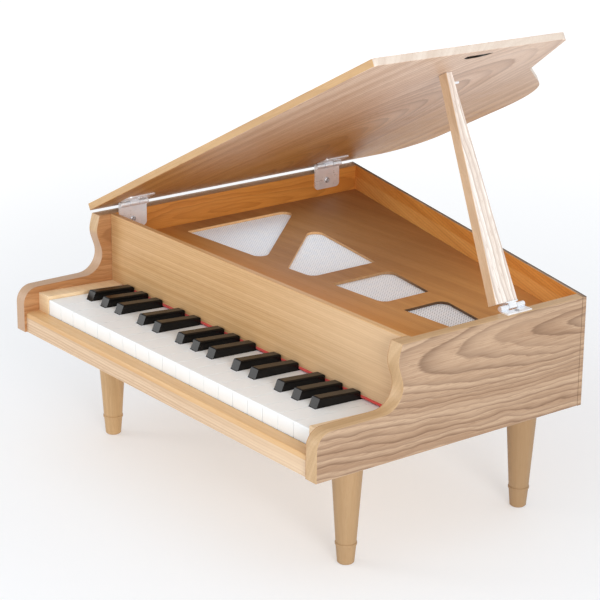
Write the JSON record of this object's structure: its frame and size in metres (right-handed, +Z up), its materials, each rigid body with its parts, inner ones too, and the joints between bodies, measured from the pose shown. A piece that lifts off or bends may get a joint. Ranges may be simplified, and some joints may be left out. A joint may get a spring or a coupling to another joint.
{
  "type": "toy piano",
  "caption": "Toy grand piano of pale veneered wood: short playable keyboard, tone tubes under a soundboard with grille openings, turned legs and a lid propped open on a stick.",
  "frame": {"origin": "on the floor, under the middle of the overall width and depth with the lid propped open", "axes": "+X from the bass to the treble side, +Y from the player to the tail, +Z up"},
  "size_m": [0.4273, 0.45, 0.3981],
  "materials": {
    "case_veneer": "satin lacquer",
    "lid_veneer": "satin lacquer",
    "back_board": "satin lacquer",
    "inner_wood": "bare",
    "sound_board": "satin",
    "leg_wood": "satin lacquer",
    "prop_wood": "satin lacquer",
    "red_felt": "felt",
    "grey_felt": "felt",
    "net_cloth": "net",
    "white_key": "gloss",
    "black_key": "gloss",
    "tube_metal": "drawn",
    "steel": "zinc",
    "bright_metal": "bright"
  },
  "bodies": {
    "case": {"back_panel": "back_board", "bottom_board": "inner_wood", "case_fasteners": "steel", "cheek_blocks": "case_veneer", "fallboard": "case_veneer", "fallboard_felt": "red_felt", "felt_strips": "grey_felt", "grille_net": "net_cloth", "hinge_pins": "bright_metal", "key_pivot_rod": "steel", "key_rest_rail": "inner_wood", "key_slip": "case_veneer", "left_side": "case_veneer", "legs": "leg_wood", "lid_hinge_case_leaves": "bright_metal", "prop_hinge_case_leaf": "bright_metal", "right_side": "case_veneer", "soundboard": "sound_board", "soundboard_cleats": "inner_wood", "tone_tubes": "tube_metal", "tube_rails": "inner_wood"},
    "lid": {"lid": "lid_veneer", "lid_hinge_lid_leaves": "bright_metal", "lid_screws": "bright_metal"},
    "prop": {"prop_stick": "prop_wood", "prop_peg": "bright_metal", "prop_hinge_stick_leaf": "bright_metal", "prop_screws": "bright_metal"},
    "key_01_F": {"key_01_F": "white_key"},
    "key_02_F_sharp": {"key_02_F_sharp": "black_key"},
    "key_03_G": {"key_03_G": "white_key"},
    "key_04_G_sharp": {"key_04_G_sharp": "black_key"},
    "key_05_A": {"key_05_A": "white_key"},
    "key_06_A_sharp": {"key_06_A_sharp": "black_key"},
    "key_07_B": {"key_07_B": "white_key"},
    "key_08_C": {"key_08_C": "white_key"},
    "key_09_C_sharp": {"key_09_C_sharp": "black_key"},
    "key_10_D": {"key_10_D": "white_key"},
    "key_11_D_sharp": {"key_11_D_sharp": "black_key"},
    "key_12_E": {"key_12_E": "white_key"},
    "key_13_F": {"key_13_F": "white_key"},
    "key_14_F_sharp": {"key_14_F_sharp": "black_key"},
    "key_15_G": {"key_15_G": "white_key"},
    "key_16_G_sharp": {"key_16_G_sharp": "black_key"},
    "key_17_A": {"key_17_A": "white_key"},
    "key_18_A_sharp": {"key_18_A_sharp": "black_key"},
    "key_19_B": {"key_19_B": "white_key"},
    "key_20_C": {"key_20_C": "white_key"},
    "key_21_C_sharp": {"key_21_C_sharp": "black_key"},
    "key_22_D": {"key_22_D": "white_key"},
    "key_23_D_sharp": {"key_23_D_sharp": "black_key"},
    "key_24_E": {"key_24_E": "white_key"},
    "key_25_F": {"key_25_F": "white_key"},
    "key_26_F_sharp": {"key_26_F_sharp": "black_key"},
    "key_27_G": {"key_27_G": "white_key"},
    "key_28_G_sharp": {"key_28_G_sharp": "black_key"},
    "key_29_A": {"key_29_A": "white_key"},
    "key_30_A_sharp": {"key_30_A_sharp": "black_key"},
    "key_31_B": {"key_31_B": "white_key"},
    "key_32_C": {"key_32_C": "white_key"}
  },
  "joints": [
    {"name": "lid_hinge", "type": "hinge", "parent": "case", "child": "lid", "pos_m": [-0.1964, 0, 0.1975], "axis": [0, -1, 0], "range_deg": [0, 6]},
    {"name": "prop_hinge", "type": "hinge", "parent": "case", "child": "prop", "pos_m": [0.2005, -0.0263, 0.193], "axis": [0, 1, 0], "range_deg": [-66.5, 0]},
    {"name": "key_01_F_press", "type": "hinge", "parent": "case", "child": "key_01_F", "pos_m": [0, -0.085, 0.12295], "axis": [1, 0, 0], "range_deg": [0, 3], "stiffness_Nm_per_rad": 0.1, "springref_deg": -20.05},
    {"name": "key_02_F_sharp_press", "type": "hinge", "parent": "case", "child": "key_02_F_sharp", "pos_m": [0, -0.085, 0.12295], "axis": [1, 0, 0], "range_deg": [0, 3], "stiffness_Nm_per_rad": 0.1, "springref_deg": -20.05},
    {"name": "key_03_G_press", "type": "hinge", "parent": "case", "child": "key_03_G", "pos_m": [0, -0.085, 0.12295], "axis": [1, 0, 0], "range_deg": [0, 3], "stiffness_Nm_per_rad": 0.1, "springref_deg": -20.05},
    {"name": "key_04_G_sharp_press", "type": "hinge", "parent": "case", "child": "key_04_G_sharp", "pos_m": [0, -0.085, 0.12295], "axis": [1, 0, 0], "range_deg": [0, 3], "stiffness_Nm_per_rad": 0.1, "springref_deg": -20.05},
    {"name": "key_05_A_press", "type": "hinge", "parent": "case", "child": "key_05_A", "pos_m": [0, -0.085, 0.12295], "axis": [1, 0, 0], "range_deg": [0, 3], "stiffness_Nm_per_rad": 0.1, "springref_deg": -20.05},
    {"name": "key_06_A_sharp_press", "type": "hinge", "parent": "case", "child": "key_06_A_sharp", "pos_m": [0, -0.085, 0.12295], "axis": [1, 0, 0], "range_deg": [0, 3], "stiffness_Nm_per_rad": 0.1, "springref_deg": -20.05},
    {"name": "key_07_B_press", "type": "hinge", "parent": "case", "child": "key_07_B", "pos_m": [0, -0.085, 0.12295], "axis": [1, 0, 0], "range_deg": [0, 3], "stiffness_Nm_per_rad": 0.1, "springref_deg": -20.05},
    {"name": "key_08_C_press", "type": "hinge", "parent": "case", "child": "key_08_C", "pos_m": [0, -0.085, 0.12295], "axis": [1, 0, 0], "range_deg": [0, 3], "stiffness_Nm_per_rad": 0.1, "springref_deg": -20.05},
    {"name": "key_09_C_sharp_press", "type": "hinge", "parent": "case", "child": "key_09_C_sharp", "pos_m": [0, -0.085, 0.12295], "axis": [1, 0, 0], "range_deg": [0, 3], "stiffness_Nm_per_rad": 0.1, "springref_deg": -20.05},
    {"name": "key_10_D_press", "type": "hinge", "parent": "case", "child": "key_10_D", "pos_m": [0, -0.085, 0.12295], "axis": [1, 0, 0], "range_deg": [0, 3], "stiffness_Nm_per_rad": 0.1, "springref_deg": -20.05},
    {"name": "key_11_D_sharp_press", "type": "hinge", "parent": "case", "child": "key_11_D_sharp", "pos_m": [0, -0.085, 0.12295], "axis": [1, 0, 0], "range_deg": [0, 3], "stiffness_Nm_per_rad": 0.1, "springref_deg": -20.05},
    {"name": "key_12_E_press", "type": "hinge", "parent": "case", "child": "key_12_E", "pos_m": [0, -0.085, 0.12295], "axis": [1, 0, 0], "range_deg": [0, 3], "stiffness_Nm_per_rad": 0.1, "springref_deg": -20.05},
    {"name": "key_13_F_press", "type": "hinge", "parent": "case", "child": "key_13_F", "pos_m": [0, -0.085, 0.12295], "axis": [1, 0, 0], "range_deg": [0, 3], "stiffness_Nm_per_rad": 0.1, "springref_deg": -20.05},
    {"name": "key_14_F_sharp_press", "type": "hinge", "parent": "case", "child": "key_14_F_sharp", "pos_m": [0, -0.085, 0.12295], "axis": [1, 0, 0], "range_deg": [0, 3], "stiffness_Nm_per_rad": 0.1, "springref_deg": -20.05},
    {"name": "key_15_G_press", "type": "hinge", "parent": "case", "child": "key_15_G", "pos_m": [0, -0.085, 0.12295], "axis": [1, 0, 0], "range_deg": [0, 3], "stiffness_Nm_per_rad": 0.1, "springref_deg": -20.05},
    {"name": "key_16_G_sharp_press", "type": "hinge", "parent": "case", "child": "key_16_G_sharp", "pos_m": [0, -0.085, 0.12295], "axis": [1, 0, 0], "range_deg": [0, 3], "stiffness_Nm_per_rad": 0.1, "springref_deg": -20.05},
    {"name": "key_17_A_press", "type": "hinge", "parent": "case", "child": "key_17_A", "pos_m": [0, -0.085, 0.12295], "axis": [1, 0, 0], "range_deg": [0, 3], "stiffness_Nm_per_rad": 0.1, "springref_deg": -20.05},
    {"name": "key_18_A_sharp_press", "type": "hinge", "parent": "case", "child": "key_18_A_sharp", "pos_m": [0, -0.085, 0.12295], "axis": [1, 0, 0], "range_deg": [0, 3], "stiffness_Nm_per_rad": 0.1, "springref_deg": -20.05},
    {"name": "key_19_B_press", "type": "hinge", "parent": "case", "child": "key_19_B", "pos_m": [0, -0.085, 0.12295], "axis": [1, 0, 0], "range_deg": [0, 3], "stiffness_Nm_per_rad": 0.1, "springref_deg": -20.05},
    {"name": "key_20_C_press", "type": "hinge", "parent": "case", "child": "key_20_C", "pos_m": [0, -0.085, 0.12295], "axis": [1, 0, 0], "range_deg": [0, 3], "stiffness_Nm_per_rad": 0.1, "springref_deg": -20.05},
    {"name": "key_21_C_sharp_press", "type": "hinge", "parent": "case", "child": "key_21_C_sharp", "pos_m": [0, -0.085, 0.12295], "axis": [1, 0, 0], "range_deg": [0, 3], "stiffness_Nm_per_rad": 0.1, "springref_deg": -20.05},
    {"name": "key_22_D_press", "type": "hinge", "parent": "case", "child": "key_22_D", "pos_m": [0, -0.085, 0.12295], "axis": [1, 0, 0], "range_deg": [0, 3], "stiffness_Nm_per_rad": 0.1, "springref_deg": -20.05},
    {"name": "key_23_D_sharp_press", "type": "hinge", "parent": "case", "child": "key_23_D_sharp", "pos_m": [0, -0.085, 0.12295], "axis": [1, 0, 0], "range_deg": [0, 3], "stiffness_Nm_per_rad": 0.1, "springref_deg": -20.05},
    {"name": "key_24_E_press", "type": "hinge", "parent": "case", "child": "key_24_E", "pos_m": [0, -0.085, 0.12295], "axis": [1, 0, 0], "range_deg": [0, 3], "stiffness_Nm_per_rad": 0.1, "springref_deg": -20.05},
    {"name": "key_25_F_press", "type": "hinge", "parent": "case", "child": "key_25_F", "pos_m": [0, -0.085, 0.12295], "axis": [1, 0, 0], "range_deg": [0, 3], "stiffness_Nm_per_rad": 0.1, "springref_deg": -20.05},
    {"name": "key_26_F_sharp_press", "type": "hinge", "parent": "case", "child": "key_26_F_sharp", "pos_m": [0, -0.085, 0.12295], "axis": [1, 0, 0], "range_deg": [0, 3], "stiffness_Nm_per_rad": 0.1, "springref_deg": -20.05},
    {"name": "key_27_G_press", "type": "hinge", "parent": "case", "child": "key_27_G", "pos_m": [0, -0.085, 0.12295], "axis": [1, 0, 0], "range_deg": [0, 3], "stiffness_Nm_per_rad": 0.1, "springref_deg": -20.05},
    {"name": "key_28_G_sharp_press", "type": "hinge", "parent": "case", "child": "key_28_G_sharp", "pos_m": [0, -0.085, 0.12295], "axis": [1, 0, 0], "range_deg": [0, 3], "stiffness_Nm_per_rad": 0.1, "springref_deg": -20.05},
    {"name": "key_29_A_press", "type": "hinge", "parent": "case", "child": "key_29_A", "pos_m": [0, -0.085, 0.12295], "axis": [1, 0, 0], "range_deg": [0, 3], "stiffness_Nm_per_rad": 0.1, "springref_deg": -20.05},
    {"name": "key_30_A_sharp_press", "type": "hinge", "parent": "case", "child": "key_30_A_sharp", "pos_m": [0, -0.085, 0.12295], "axis": [1, 0, 0], "range_deg": [0, 3], "stiffness_Nm_per_rad": 0.1, "springref_deg": -20.05},
    {"name": "key_31_B_press", "type": "hinge", "parent": "case", "child": "key_31_B", "pos_m": [0, -0.085, 0.12295], "axis": [1, 0, 0], "range_deg": [0, 3], "stiffness_Nm_per_rad": 0.1, "springref_deg": -20.05},
    {"name": "key_32_C_press", "type": "hinge", "parent": "case", "child": "key_32_C", "pos_m": [0, -0.085, 0.12295], "axis": [1, 0, 0], "range_deg": [0, 3], "stiffness_Nm_per_rad": 0.1, "springref_deg": -20.05}
  ]
}
